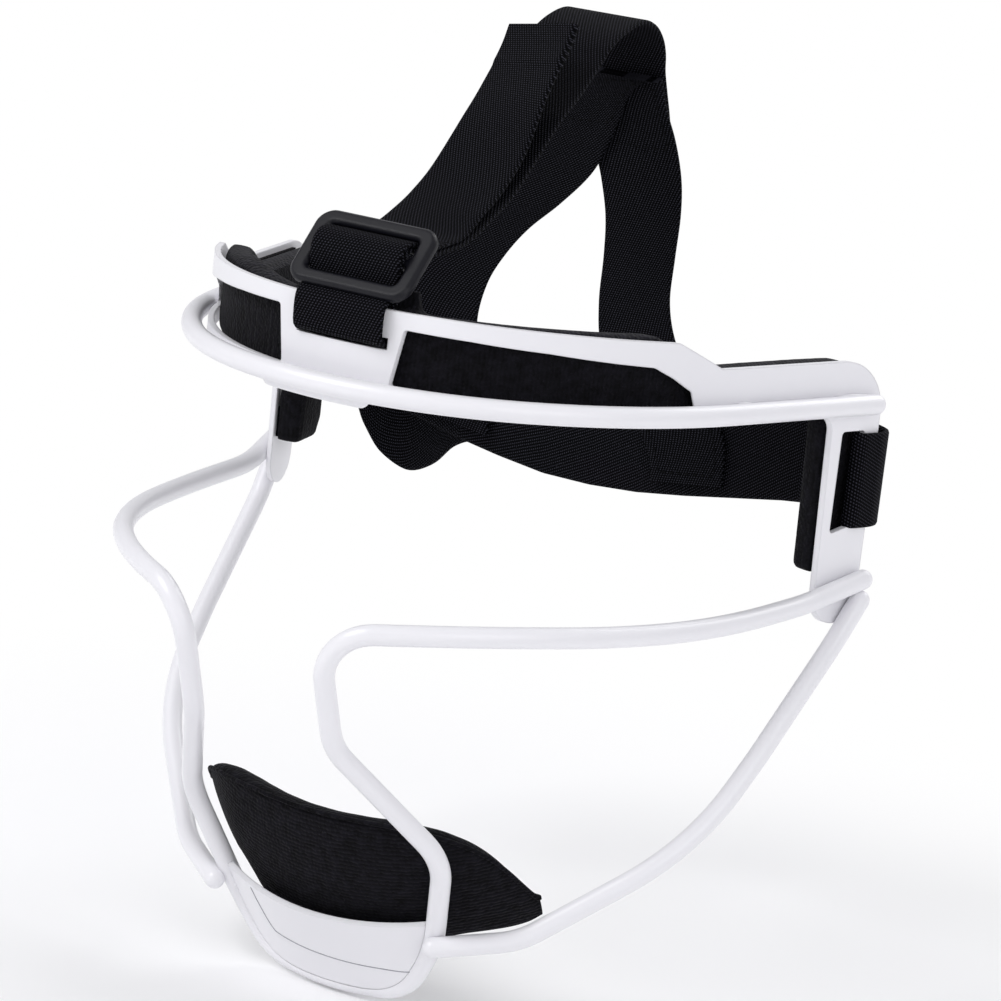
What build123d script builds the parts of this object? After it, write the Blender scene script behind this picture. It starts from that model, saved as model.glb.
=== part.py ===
from build123d import *
import os
from math import cos, sin, radians, sqrt, hypot

os.makedirs("parts", exist_ok=True)

# Softball face guard, life size in millimetres, +Z up.
# The open front of the cage faces -Y and the wearer's left is +X.
# The origin is level with the cheek wire, under the centre of the brow band's front arc.

# Bent steel sheet: brow band with its two side plates.
sheet_t = 1.6
front_y = -72.6
front_r = 72.5
front_turn_deg = 44.27
side_r = 97.1
side_turn_deg = 30.73
temple_run = 56.0
temple_deg = 15.0
band_front_y = -77.0
band_rear_y = 46.5
band_low_z = 52.0
band_top_z = 75.2
band_shoulder = (-26.0, 73.2)
band_step = (-12.5, 66.4)
band_corner_r = 15.5
step_r = 9.0
shoulder_r = 2.5
plate_front_y = 29.0
plate_inner_r = 4.0
plate_end_r = 7.9
plate_end_z = 4.2
sheet_reach = 120.0
window_outline = ((16.0, 56.0), (18.5, 70.7), (34.0, 70.2), (50.0, 69.2), (67.3, 67.0),
                  (70.0, 64.4), (72.5, 61.0), (73.2, 56.2))
window_r = 1.0
front_strap_x = 1.4
strap_slot_w = 26.6
strap_slot_low = 65.1
strap_slot_top = 68.0
side_slot_front = 33.1
side_slot_rear = 41.5
side_slot_low = 20.6
side_slot_rear_low = 22.6
side_slot_top = 47.8
side_slot_r = 1.1

# Round steel wires.
wire_d = 5.4
brow_wire_z = 55.3
brow_wire_front_y = -80.8
brow_wire_widening = 10.4
brow_wire_run = 53.0
rod_d = 4.6
rod_y = -75.75
rod_z = 52.4
rod_left_deg = -13.5
rod_right_deg = 8.5
cage_x_shares = (1.0481, 0.99, 0.9502, 0.8451, 0.6131, 0.2322, 0.2359, 0.4374, 0.3472, 0.2372)
cage_y = (44.4, 24.0, -12.65, -46.37, -80.37, -97.94, -86.68, -58.63, -44.8, -40.3)
cage_z = (8.2, 3.4, 1.93, 2.36, 2.86, -1.16, -32.11, -62.34, -90.5, -106.4)
cage_radii = (55.96, 208.9, 119.5, 79.2, 12.9, 17.2, 20.5, 48.2, 14.0)
cage_foot = (0.0, -43.2, -108.1)
cage_foot_r = 58.0
jaw_x_shares = (1.0493, 1.029, 0.9834, 0.9325, 0.5857, 0.3841)
jaw_y = (44.0, 36.0, 9.4, -11.73, -38.9, -50.7)
jaw_z = (2.7, -8.0, -35.17, -56.83, -84.2, -88.3)
jaw_radii = (60.0, 119.4, 71.9, 25.1)

# Chin plate, a sheet bent to a cylinder that leans back.
chin_tilt_deg = 30.0
chin_top = (0.0, -56.4, -87.0)
chin_r = 64.0
chin_plate_w = 80.0
chin_plate_low = -24.9
chin_outline = ((32.6, 0.0), (30.2, -9.0), (25.8, -18.0), (19.8, -23.8))
chin_tape_w = 38.0
chin_tape_low = -17.0
chin_tape_top = -3.0
chin_tape_t = 2.6

# Foam pads.
pad_gap = 1.8
pad_t = 9.4
pad_low_z = 52.4
pad_temple_top = 65.6
pad_front_top = 74.4
pad_lobe_top = 80.2
pad_crown = 1.4
pad_run = 46.0
pad_slope = (-27.5, -12.5)
pad_trim_y = 70.0
pad_recess_w = 28.4
pad_recess_y = -68.5
pad_recess_low = 64.2
pad_lobe_deg = 15.5
pad_edge_r = 1.6
lobe_setback = 4.6
tape_low_z = 55.2
tape_top_z = 64.8
tape_start_run = 6.0
tape_run = 33.0
tape_centre_deg = 11.0
tape_centre_top = 63.6
tape_gap = 0.2
temple_pad_gap = 1.6
temple_pad_t = 7.2
temple_pad_front = -13.5
temple_pad_slant = 1.5
temple_pad_rear = 6.6
temple_pad_low = 9.4
temple_pad_top = 51.6
temple_clip = (3.2, 5.4)
temple_pad_corner_r = 2.2
temple_pad_edge_r = 2.0
strap_pocket_front = -5.4
strap_pocket_low = 20.6
strap_pocket_depth = 2.2
temple_tape_front = -9.6
temple_tape_rear = 3.6
temple_tape_low = 10.6
temple_tape_top = 19.2
bar_front_y = 41.5
# Each row is one section of the chin pad, from the middle to the tip: angle round the chin
# cylinder, bottom, top, radius of the top seam, swell of the outer side and thickness.
chin_pad_rows = ((0.0, -23.6, 27.9, 53.0, 3.0, 12.4), (12.0, -23.0, 26.8, 53.4, 2.9, 12.2),
                 (24.0, -21.4, 25.4, 55.0, 2.3, 11.6), (35.0, -19.0, 23.6, 57.6, 1.4, 10.4),
                 (44.0, -16.5, 17.0, 60.0, 0.8, 8.6), (52.0, -13.0, 5.5, 62.0, 0.6, 6.2),
                 (58.0, -11.4, -6.0, 62.8, 0.4, 2.6))
chin_pad_low_r = 59.9

# Webbing, one inch wide.
web_w = 25.4
web_t = 1.4
loop_line = ((-48.0, 87.7), (-52.6, 87.2), (-56.6, 87.4), (-60.6, 88.2), (-63.6, 88.9),
             (-65.8, 88.9), (-67.6, 87.9), (-68.5, 85.7), (-68.2, 83.0), (-67.9, 80.3),
             (-68.5, 77.5), (-69.6, 75.2), (-69.9, 72.5), (-69.9, 69.0), (-70.1, 67.6),
             (-70.9, 66.5), (-72.25, 66.15), (-73.6, 66.5), (-74.4, 67.6), (-74.6, 69.0),
             (-74.75, 72.5), (-74.3, 75.3), (-72.4, 77.0), (-70.2, 78.3), (-69.5, 80.6),
             (-69.8, 83.2), (-70.1, 85.9), (-69.1, 88.6), (-66.9, 90.3), (-64.0, 90.5),
             (-60.5, 89.8), (-56.5, 89.0), (-52.5, 88.8), (-48.0, 89.3))
tail_line = ((-48.0, 89.3), (-41.6, 90.35), (-35.0, 93.1), (-28.5, 96.9), (-22.7, 100.9),
             (-17.3, 105.8), (-12.6, 111.1), (-8.4, 116.9), (-3.7, 124.0), (1.0, 130.6),
             (4.8, 136.0), (7.2, 141.0))
run_line = ((-48.0, 87.7), (-41.3, 88.6), (-34.2, 91.3), (-27.2, 95.2), (-20.9, 99.0),
            (-15.1, 104.0), (-7.8, 111.2), (-0.5, 118.1))
crown_line = ((-0.5, 118.1), (9.8, 125.0), (17.5, 131.0), (22.9, 135.0), (29.3, 138.5),
              (37.7, 140.8), (44.3, 140.0), (49.0, 137.2), (51.3, 133.0), (52.2, 128.4),
              (54.6, 122.6), (57.4, 116.2), (59.6, 109.8), (60.8, 103.2))
leg_right_line = ((51.0, 126.6), (53.1, 121.8), (55.8, 115.4), (57.9, 109.2), (59.1, 103.0),
                  (60.1, 94.0), (60.4, 80.0), (59.8, 64.0), (58.9, 50.0), (58.2, 40.0),
                  (58.0, 28.0), (58.0, 10.0))
leg_left_line = ((49.4, 125.9), (51.5, 121.1), (54.1, 114.8), (56.2, 108.8), (57.4, 102.8),
                 (58.3, 94.0), (58.5, 80.0), (57.9, 64.0), (57.1, 50.0), (57.0, 40.0),
                 (57.4, 28.0), (57.4, 10.0))
leg_right_edges = (((-12.7, 130.0), (-12.7, 118.0), (-10.5, 106.0), (-7.5, 96.0), (-5.0, 86.0),
                    (-4.0, 75.0), (-3.4, 62.0), (-0.5, 50.0), (7.0, 40.0), (14.0, 32.0),
                    (19.0, 24.0), (20.5, 16.8)),
                   ((12.7, 130.0), (13.2, 118.0), (15.2, 110.0), (17.4, 100.0), (18.2, 90.0),
                    (18.0, 78.0), (18.4, 66.0), (22.0, 56.0), (29.0, 46.5), (37.0, 39.0),
                    (41.5, 32.0), (42.5, 20.0)))
leg_left_edges = (((-12.7, 130.0), (-18.0, 121.0), (-28.0, 111.5), (-37.0, 101.0), (-46.0, 89.0),
                   (-53.0, 76.0), (-58.0, 64.0), (-59.5, 52.0), (-57.0, 42.0), (-55.0, 32.0),
                   (-54.5, 21.5)),
                  ((12.7, 130.0), (7.0, 128.5), (3.0, 123.0), (-1.5, 110.0), (-8.0, 97.0),
                   (-17.0, 87.0), (-25.5, 78.5), (-31.5, 70.0), (-35.5, 61.0), (-37.0, 50.0),
                   (-34.0, 40.0), (-32.0, 30.0), (-31.5, 18.5)))
leg_reach = 90.0
wrap_off_bar = ((-23.86, 57.2), (-17.9, 56.5), (-11.9, 55.4), (-6.9, 53.6), (-2.2, 51.8),
                (-0.4, 49.5), (-0.3, 47.4), (-0.9, 45.2), (-1.45, 43.0), (-1.76, 41.5),
                (-1.46, 40.3), (-0.54, 39.75), (0.64, 40.1), (1.44, 41.1), (1.89, 42.4),
                (2.54, 44.6), (3.04, 46.8), (2.7, 50.0), (0.9, 52.9), (-2.9, 55.6),
                (-7.4, 57.6), (-13.86, 59.0))
span_y = (59.0, 59.1, 59.25, 59.5, 59.7)
span_shares = (0.0, 0.24, 0.48, 0.76, 1.0)
rear_line = ((43.0, 59.7), (30.0, 60.0), (15.0, 60.2), (0.0, 60.3))
slack_line = ((-33.0, 61.44), (-40.0, 61.6), (-48.0, 63.4), (-57.0, 65.8), (-66.0, 66.4),
              (-74.0, 64.2), (-79.5, 61.0))
web_slot_low = 21.8
near_low_z = (21.8, 21.2, 20.2, 18.6, 17.2)
far_low_z = (21.8, 20.9, 19.6, 17.6, 15.8)
rear_low_edge = ((43.0, 17.2), (30.0, 14.9), (15.0, 12.7), (0.0, 11.6), (-15.0, 11.7),
                 (-30.0, 13.6), (-43.0, 15.8))
slack_low_edge = ((-33.0, 15.6), (-40.0, 15.4), (-47.0, 12.0), (-54.5, 5.2), (-63.5, 1.6),
                  (-72.0, 5.2), (-77.0, 12.4), (-79.5, 19.0))
web_low_z = -5.0
web_tall = 70.0

# Three-bar slide.
glide_foot = (-73.33, 77.43)
glide_lean_deg = 48.15
glide_w = 35.6
glide_h = 21.8
glide_t = 3.0
glide_bar = 3.9
glide_slot_w = 26.8
glide_slot_h = 5.6
glide_corner_r = 4.6
glide_slot_r = 1.2
glide_edge = 0.8


def plan_chain(shift, run):
    """Centre line of the band in plan, moved outwards by shift; returns first and last edge."""
    front = JernArc((0, front_y - shift), (1, 0), front_r + shift, front_turn_deg)
    side = JernArc(front @ 1, front % 1, side_r + shift, side_turn_deg)
    temple = Line(side @ 1, side @ 1 + (side % 1) * run)
    return front, temple


def plan_ring(outer, inner, run):
    """Both halves of a strip that follows the band between two shifts."""
    with BuildLine() as outline:
        outer_front, outer_end = plan_chain(outer, run)
        inner_front, inner_end = plan_chain(inner, run)
        Line(outer_front @ 0, inner_front @ 0)
        Line(outer_end @ 1, inner_end @ 1)
    make_face(outline.edges())
    mirror(about=Plane.YZ)


def sides(points, thick, before, after):
    """Two rows of points, half a thickness to either side of a centre line."""
    left = []
    right = []
    last = len(points) - 1
    for i, (x, y) in enumerate(points):
        x0, y0 = points[i - 1] if i > 0 else before
        x1, y1 = points[i + 1] if i < last else after
        length = hypot(x1 - x0, y1 - y0)
        nx = (y0 - y1) / length * thick / 2
        ny = (x1 - x0) / length * thick / 2
        left.append((x + nx, y + ny))
        right.append((x - nx, y - ny))
    return left, right


def ribbon(points, thick, before=None, after=None):
    """Face of a strap seen from its edge; before and after are its neighbours' nearest points."""
    left, right = sides(points, thick, before or points[0], after or points[-1])
    with BuildLine() as outline:
        Spline(*left)
        Line(left[-1], right[-1])
        Spline(*right)
        Line(right[0], left[0])
    make_face(outline.edges())


def band_between(low, high):
    """Face between two rows of points that run the same way."""
    with BuildLine() as outline:
        Spline(*low)
        Line(low[-1], high[-1])
        Spline(*high)
        Line(high[0], low[0])
    make_face(outline.edges())


def swap(points):
    """The same points on the other side of the middle plane."""
    return tuple((-p[0],) + tuple(p[1:]) for p in points)


def jointed(points, thick, before=None, after=None):
    """Face of a tightly folded strap seen from its edge, made of short straight steps."""
    left, right = sides(points, thick, before or points[0], after or points[-1])
    with BuildLine() as outline:
        Polyline(*left, *right[::-1], close=True)
    make_face(outline.edges())


def raised(points, height):
    """The same points moved up."""
    return tuple((x, z + height) for x, z in points)


temple_dir = Vector(sin(radians(temple_deg)), cos(radians(temple_deg)), 0)
temple_out = Vector(cos(radians(temple_deg)), -sin(radians(temple_deg)), 0)
front_end = front_r * sin(radians(front_turn_deg))
arc_x = front_end + side_r * (cos(radians(temple_deg)) - sin(radians(front_turn_deg)))
arc_y = front_y + front_r * (1 - cos(radians(front_turn_deg)))
arc_y = arc_y + side_r * (cos(radians(front_turn_deg)) - sin(radians(temple_deg)))
bar_run = (bar_front_y - arc_y) / cos(radians(temple_deg))
bar_point = Vector(arc_x, arc_y, 0) + temple_dir * bar_run
cage_points = tuple((bar_point.X * share, y, z) for share, y, z in zip(cage_x_shares, cage_y, cage_z))
jaw_points = tuple((bar_point.X * share, y, z) for share, y, z in zip(jaw_x_shares, jaw_y, jaw_z))
tab_line = tuple((bar_point.X + dx, y) for dx, y in wrap_off_bar)
tab_end_x = tab_line[-1][0]
rear_end_x = rear_line[0][0]
span_x = tuple(tab_end_x + (rear_end_x - tab_end_x) * share for share in span_shares)
span_line = tuple(zip(span_x, span_y))


def temple_plane(inset):
    """Plane on the inner side of the right plate; x runs rearwards, z points to the head."""
    spot = bar_point - temple_out * inset
    return Plane(origin=(-spot.X, spot.Y, 0), x_dir=(-temple_dir.X, temple_dir.Y, 0),
                 z_dir=(temple_out.X, -temple_out.Y, 0))


chin_up = Vector(0, -sin(radians(chin_tilt_deg)), cos(radians(chin_tilt_deg)))
chin_out = Vector(0, -cos(radians(chin_tilt_deg)), -sin(radians(chin_tilt_deg)))
chin_mid = Vector(*chin_top)


def chin_axis_plane(radius, front):
    """Plane across the chin cylinder's axis; local x is +X, local z is up the plate."""
    centre = chin_mid + chin_out * (front - radius)
    return Plane(origin=(centre.X, centre.Y, centre.Z), x_dir=(1, 0, 0),
                 z_dir=(chin_up.X, chin_up.Y, chin_up.Z))


chin_face = Plane(origin=chin_top, x_dir=(1, 0, 0), z_dir=(chin_out.X, chin_out.Y, chin_out.Z))

# The welded steel frame.

with BuildPart() as brow_band:
    with BuildSketch(Plane.XY.offset(plate_end_z - plate_end_r * 2)):
        plan_ring(sheet_t / 2, -sheet_t / 2, temple_run)
    extrude(amount=band_top_z - plate_end_z + plate_end_r * 2)
    with BuildSketch(Plane.YZ):
        with BuildLine():
            plate_mid_y = band_rear_y - plate_end_r
            plate_end_y = plate_mid_y - plate_end_r
            FilletPolyline((plate_end_y, plate_end_z), (plate_front_y, band_low_z),
                           (band_front_y, band_low_z), radius=plate_inner_r)
            Line((band_front_y, band_low_z), (band_front_y, band_top_z))
            Line((band_front_y, band_top_z), band_shoulder)
            Line(band_shoulder, band_step)
            FilletPolyline(band_step, (band_rear_y, band_step[1]), (band_rear_y, plate_end_z),
                           radius=band_corner_r)
            ThreePointArc((band_rear_y, plate_end_z), (plate_mid_y, plate_end_z - plate_end_r),
                          (plate_end_y, plate_end_z))
        make_face()
    extrude(amount=sheet_reach, both=True, mode=Mode.INTERSECT)
    with BuildSketch(Plane.XZ):
        with BuildLine():
            Polyline(*window_outline, close=True)
        window = make_face()
        fillet(window.vertices(), radius=window_r)
        mirror(about=Plane.YZ)
        with Locations((front_strap_x, (strap_slot_low + strap_slot_top) / 2)):
            Rectangle(strap_slot_w, strap_slot_top - strap_slot_low)
    extrude(amount=sheet_reach, mode=Mode.SUBTRACT)
    with BuildSketch(Plane.YZ):
        with BuildLine():
            Polyline((side_slot_front, side_slot_low), (side_slot_front, side_slot_top),
                     (side_slot_rear, side_slot_top), (side_slot_rear, side_slot_rear_low),
                     close=True)
        side_slot = make_face()
        fillet(side_slot.vertices(), radius=side_slot_r)
    extrude(amount=sheet_reach, both=True, mode=Mode.SUBTRACT)
brow_band.part.label = "brow_band"
export_step(brow_band.part, "parts/brow_band.step")


def round_wire(path, across):
    """Solid round wire along a path, its section square to the start and its ends rounded."""
    with BuildSketch(Plane(origin=path @ 0, z_dir=path % 0)) as section:
        Circle(across / 2)
    sweep(sections=section.sketch, path=path)
    with Locations(path @ 0, path @ 1):
        Sphere(across / 2)


with BuildPart() as brow_wire:
    with BuildLine(Plane.XY.offset(brow_wire_z)) as brow_path:
        right_front = JernArc((0, brow_wire_front_y), (1, 0), front_r, front_turn_deg)
        right_side = JernArc(right_front @ 1, right_front % 1, side_r + brow_wire_widening,
                             side_turn_deg)
        Line(right_side @ 1, right_side @ 1 + (right_side % 1) * brow_wire_run)
        mirror(about=Plane.YZ)
    round_wire(brow_path.wires()[0], wire_d)
brow_wire.part.label = "brow_wire"
export_step(brow_wire.part, "parts/brow_wire.step")

with BuildPart() as brow_rod:
    with BuildLine(Plane.XY.offset(rod_z)) as rod_path:
        CenterArc((0, rod_y + front_r), front_r, rod_left_deg - 90, rod_right_deg - rod_left_deg)
    round_wire(rod_path.wires()[0], rod_d)
brow_rod.part.label = "brow_rod"
export_step(brow_rod.part, "parts/brow_rod.step")

with BuildPart() as cage_wire:
    cage_row = cage_points + (cage_foot,) + swap(cage_points[::-1])
    cage_bends = cage_radii + (cage_foot_r,) + cage_radii[::-1]
    with BuildLine() as cage_path:
        FilletPolyline(*cage_row, radius=cage_bends)
    round_wire(cage_path.wires()[0], wire_d)
cage_wire.part.label = "cage_wire"
export_step(cage_wire.part, "parts/cage_wire.step")

with BuildPart() as jaw_wire_left:
    with BuildLine() as jaw_path_left:
        FilletPolyline(*jaw_points, radius=jaw_radii)
    round_wire(jaw_path_left.wires()[0], wire_d)
    add(cage_wire.part, mode=Mode.SUBTRACT)
    for scrap in jaw_wire_left.solids().sort_by(SortBy.VOLUME)[:-1]:
        add(scrap, mode=Mode.SUBTRACT)
jaw_wire_left.part.label = "jaw_wire_left"
export_step(jaw_wire_left.part, "parts/jaw_wire_left.step")

with BuildPart() as jaw_wire_right:
    add(mirror(jaw_wire_left.part, about=Plane.YZ))
jaw_wire_right.part.label = "jaw_wire_right"
export_step(jaw_wire_right.part, "parts/jaw_wire_right.step")

with BuildPart() as chin_plate:
    with BuildSketch(chin_axis_plane(chin_r, 0).offset(chin_plate_low)):
        Circle(chin_r + sheet_t / 2)
        Circle(chin_r - sheet_t / 2, mode=Mode.SUBTRACT)
    extrude(amount=-chin_plate_low)
    with BuildSketch(chin_face):
        with BuildLine():
            Polyline((0, 0), *chin_outline, (0, chin_plate_low))
            Line((0, chin_plate_low), (0, 0))
        make_face()
        mirror(about=Plane.YZ)
    extrude(amount=chin_r / 2, both=True, mode=Mode.INTERSECT)
    add(cage_wire.part, mode=Mode.SUBTRACT)
    for scrap in chin_plate.solids().sort_by(SortBy.VOLUME)[:-1]:
        add(scrap, mode=Mode.SUBTRACT)
chin_plate.part.label = "chin_plate"
export_step(chin_plate.part, "parts/chin_plate.step")

# The hook and loop strips.

with BuildPart() as chin_tape:
    with BuildSketch(chin_axis_plane(chin_r, 0).offset(chin_tape_low)):
        Circle(chin_r - sheet_t / 2)
        Circle(chin_r - sheet_t / 2 - chin_tape_t, mode=Mode.SUBTRACT)
    extrude(amount=chin_tape_top - chin_tape_low)
    with BuildSketch(chin_face):
        with Locations((0, (chin_tape_low + chin_tape_top) / 2)):
            Rectangle(chin_tape_w, chin_tape_top - chin_tape_low)
    extrude(amount=chin_r / 2, both=True, mode=Mode.INTERSECT)
chin_tape.part.label = "chin_tape"
export_step(chin_tape.part, "parts/chin_tape.step")

with BuildPart() as forehead_tape:
    with BuildSketch(Plane.XY.offset(tape_low_z)):
        tape_outer = front_r - sheet_t / 2
        tape_inner = front_r - pad_gap + tape_gap
        with BuildLine():
            outer_arc = CenterArc((0, front_y + front_r), tape_outer, -90 - tape_centre_deg,
                                  tape_centre_deg * 2)
            inner_arc = CenterArc((0, front_y + front_r), tape_inner, -90 - tape_centre_deg,
                                  tape_centre_deg * 2)
            Line(outer_arc @ 0, inner_arc @ 0)
            Line(outer_arc @ 1, inner_arc @ 1)
        make_face()
    extrude(amount=tape_centre_top - tape_low_z)
forehead_tape.part.label = "forehead_tape"
export_step(forehead_tape.part, "parts/forehead_tape.step")

with BuildPart() as temple_strip_right:
    with BuildSketch(temple_plane(sheet_t / 2)):
        with Locations((tape_start_run + tape_run / 2 - bar_run, (tape_low_z + tape_top_z) / 2)):
            Rectangle(tape_run, tape_top_z - tape_low_z)
    extrude(amount=pad_gap - sheet_t / 2)
temple_strip_right.part.label = "temple_strip_right"
export_step(temple_strip_right.part, "parts/temple_strip_right.step")

with BuildPart() as temple_strip_left:
    add(mirror(temple_strip_right.part, about=Plane.YZ))
temple_strip_left.part.label = "temple_strip_left"
export_step(temple_strip_left.part, "parts/temple_strip_left.step")

with BuildPart() as plate_tape_right:
    with BuildSketch(temple_plane(sheet_t / 2)):
        with Locations(((temple_tape_front + temple_tape_rear) / 2,
                        (temple_tape_low + temple_tape_top) / 2)):
            Rectangle(temple_tape_rear - temple_tape_front, temple_tape_top - temple_tape_low)
    extrude(amount=temple_pad_gap - sheet_t / 2)
plate_tape_right.part.label = "plate_tape_right"
export_step(plate_tape_right.part, "parts/plate_tape_right.step")

with BuildPart() as plate_tape_left:
    add(mirror(plate_tape_right.part, about=Plane.YZ))
plate_tape_left.part.label = "plate_tape_left"
export_step(plate_tape_left.part, "parts/plate_tape_left.step")

# The foam pads.


def pad_face(low, high, setback=0):
    """Pad section: flat towards the band, drawn in at top and bottom, crowned to the head."""
    outer_y = front_y + pad_gap + setback
    inner_y = front_y + pad_gap + pad_t
    side_y = inner_y - pad_crown
    with BuildLine() as outline:
        Polyline((side_y, low + pad_edge_r), (side_y - pad_edge_r, low), (outer_y + pad_edge_r, low),
                 (outer_y, low + pad_edge_r), (outer_y, high - pad_edge_r),
                 (outer_y + pad_edge_r, high), (side_y - pad_edge_r, high),
                 (side_y, high - pad_edge_r))
        ThreePointArc((side_y, high - pad_edge_r), (inner_y, (low + high) / 2),
                      (side_y, low + pad_edge_r))
    make_face(outline.edges())


with BuildPart() as forehead_pad:
    with BuildLine() as pad_half:
        plan_chain(-pad_gap, pad_run)
    with BuildSketch(Plane.YZ):
        pad_face(pad_low_z, pad_front_top)
    sweep(path=pad_half.wires()[0])
    with BuildLine() as lobe_half:
        JernArc((0, front_y + pad_gap), (1, 0), front_r - pad_gap, pad_lobe_deg)
    with BuildSketch(Plane.YZ):
        pad_face(pad_low_z, pad_lobe_top, lobe_setback)
    sweep(path=lobe_half.wires()[0])
    mirror(about=Plane.YZ)
    with BuildSketch(Plane.YZ):
        with BuildLine():
            Polyline((pad_slope[0], pad_front_top), (pad_slope[1], pad_temple_top),
                     (pad_trim_y, pad_temple_top), (pad_trim_y, pad_lobe_top),
                     (pad_slope[0], pad_lobe_top), close=True)
        make_face()
    extrude(amount=sheet_reach, both=True, mode=Mode.SUBTRACT)
    with BuildSketch(Plane.YZ.offset(front_strap_x)):
        with BuildLine():
            Polyline((front_y, pad_recess_low), (pad_recess_y, pad_recess_low),
                     (pad_recess_y, pad_lobe_top), (front_y, pad_lobe_top), close=True)
        make_face()
    extrude(amount=pad_recess_w / 2, both=True, mode=Mode.SUBTRACT)
forehead_pad.part.label = "forehead_pad"
export_step(forehead_pad.part, "parts/forehead_pad.step")

with BuildPart() as temple_pad_right:
    clip_x, clip_z = temple_clip
    with BuildSketch(temple_plane(temple_pad_gap)):
        with BuildLine():
            Polyline((temple_pad_front + temple_pad_slant, temple_pad_low),
                     (temple_pad_rear - clip_x, temple_pad_low),
                     (temple_pad_rear, temple_pad_low + clip_z),
                     (temple_pad_rear, temple_pad_top), (temple_pad_front, temple_pad_top),
                     close=True)
        pad_outline = make_face()
        fillet(pad_outline.vertices(), radius=temple_pad_corner_r)
    extrude(amount=temple_pad_t)
    to_head = Axis((0, 0, 0), (temple_out.X, -temple_out.Y, 0))
    head_face = temple_pad_right.faces().sort_by(to_head)[-1]
    fillet(head_face.edges(), radius=temple_pad_edge_r)
    pocket_x = (strap_pocket_front + temple_pad_rear) / 2
    pocket_z = (strap_pocket_low + temple_pad_top) / 2
    with BuildSketch(temple_plane(temple_pad_gap)):
        with Locations((pocket_x, pocket_z)):
            Rectangle(temple_pad_rear - strap_pocket_front, temple_pad_top - strap_pocket_low)
    extrude(amount=strap_pocket_depth, mode=Mode.SUBTRACT)
temple_pad_right.part.label = "temple_pad_right"
export_step(temple_pad_right.part, "parts/temple_pad_right.step")

with BuildPart() as temple_pad_left:
    add(mirror(temple_pad_right.part, about=Plane.YZ))
temple_pad_left.part.label = "temple_pad_left"
export_step(temple_pad_left.part, "parts/temple_pad_left.step")


def chin_section(turn_deg, low, high, top_r, swell, thick):
    """Cushion section at one angle round the chin, with a seam at the bottom and at the top."""
    turn = radians(turn_deg)
    outward = chin_out * cos(turn) + Vector(sin(turn), 0, 0)
    centre = chin_mid - chin_out * chin_r
    mid = (low + high) / 2
    outer_r = (chin_pad_low_r + top_r) / 2 + swell
    with BuildSketch(Plane(origin=centre, x_dir=outward, z_dir=outward.cross(chin_up))) as section:
        with BuildLine() as outline:
            ThreePointArc((chin_pad_low_r, low), (outer_r, mid), (top_r, high))
            ThreePointArc((top_r, high), (outer_r - thick, mid), (chin_pad_low_r, low))
        make_face(outline.edges())
    return section.sketch


with BuildPart() as chin_pad:
    far_half = [chin_section(-row[0], *row[1:]) for row in chin_pad_rows[:0:-1]]
    loft(sections=far_half + [chin_section(*row) for row in chin_pad_rows])
chin_pad.part.label = "chin_pad"
export_step(chin_pad.part, "parts/chin_pad.step")

# The three-bar slide.

with BuildPart() as tri_glide:
    lean = radians(glide_lean_deg)
    glide_plane = Plane(origin=(front_strap_x,) + glide_foot, x_dir=(1, 0, 0),
                        z_dir=(0, -sin(lean), cos(lean)))
    slot_low_mid = glide_bar + glide_slot_h / 2
    slot_high_mid = glide_h - glide_bar - glide_slot_h / 2
    with BuildSketch(glide_plane):
        with Locations((0, glide_h / 2)):
            RectangleRounded(glide_w, glide_h, glide_corner_r)
        with Locations((0, slot_low_mid), (0, slot_high_mid)):
            RectangleRounded(glide_slot_w, glide_slot_h, glide_slot_r, mode=Mode.SUBTRACT)
    extrude(amount=glide_t / 2, both=True)
    broad = tri_glide.faces().sort_by(Axis((0, 0, 0), (0, -sin(lean), cos(lean))))
    chamfer(broad[-1].edges() + broad[0].edges(), length=glide_edge)
tri_glide.part.label = "tri_glide"
export_step(tri_glide.part, "parts/tri_glide.step")

# The webbing.


def web_side(points, before=None, after=None, face=ribbon, across=0):
    """Strap whose course lies in an upright plane along the head, one strap width wide."""
    with BuildSketch(Plane.YZ.offset(across)) as course:
        face(points, web_t, before, after)
    extrude(course.sketch, amount=web_w / 2, both=True)


with BuildPart() as front_loop:
    web_side(loop_line, run_line[1], tail_line[1], jointed, front_strap_x)
    add(tri_glide.part, mode=Mode.SUBTRACT)
front_loop.part.label = "front_loop"
export_step(front_loop.part, "parts/front_loop.step")

with BuildPart() as crown_tail:
    web_side(tail_line, before=loop_line[-2], across=front_strap_x)
crown_tail.part.label = "crown_tail"
export_step(crown_tail.part, "parts/crown_tail.step")

with BuildPart() as crown_run:
    web_side(run_line, loop_line[1], crown_line[1], across=front_strap_x)
crown_run.part.label = "crown_run"
export_step(crown_run.part, "parts/crown_run.step")

with BuildPart() as crown_fold:
    web_side(crown_line, before=run_line[-2])
crown_fold.part.label = "crown_fold"
export_step(crown_fold.part, "parts/crown_fold.step")


def leg(side_points, edges):
    """Strap leg: its depth from the side course, its edges from the rear view."""
    with BuildSketch(Plane.YZ) as course:
        ribbon(side_points, web_t)
    extrude(course.sketch, amount=leg_reach, both=True)
    with BuildSketch(Plane.XZ) as spread:
        band_between(edges[0], edges[1])
    extrude(spread.sketch, amount=-leg_reach, mode=Mode.INTERSECT)


with BuildPart() as crown_leg_left:
    leg(leg_right_line, leg_right_edges)
crown_leg_left.part.label = "crown_leg_left"
export_step(crown_leg_left.part, "parts/crown_leg_left.step")

with BuildPart() as crown_leg_right:
    leg(leg_left_line, leg_left_edges)
crown_leg_right.part.label = "crown_leg_right"
export_step(crown_leg_right.part, "parts/crown_leg_right.step")


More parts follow.
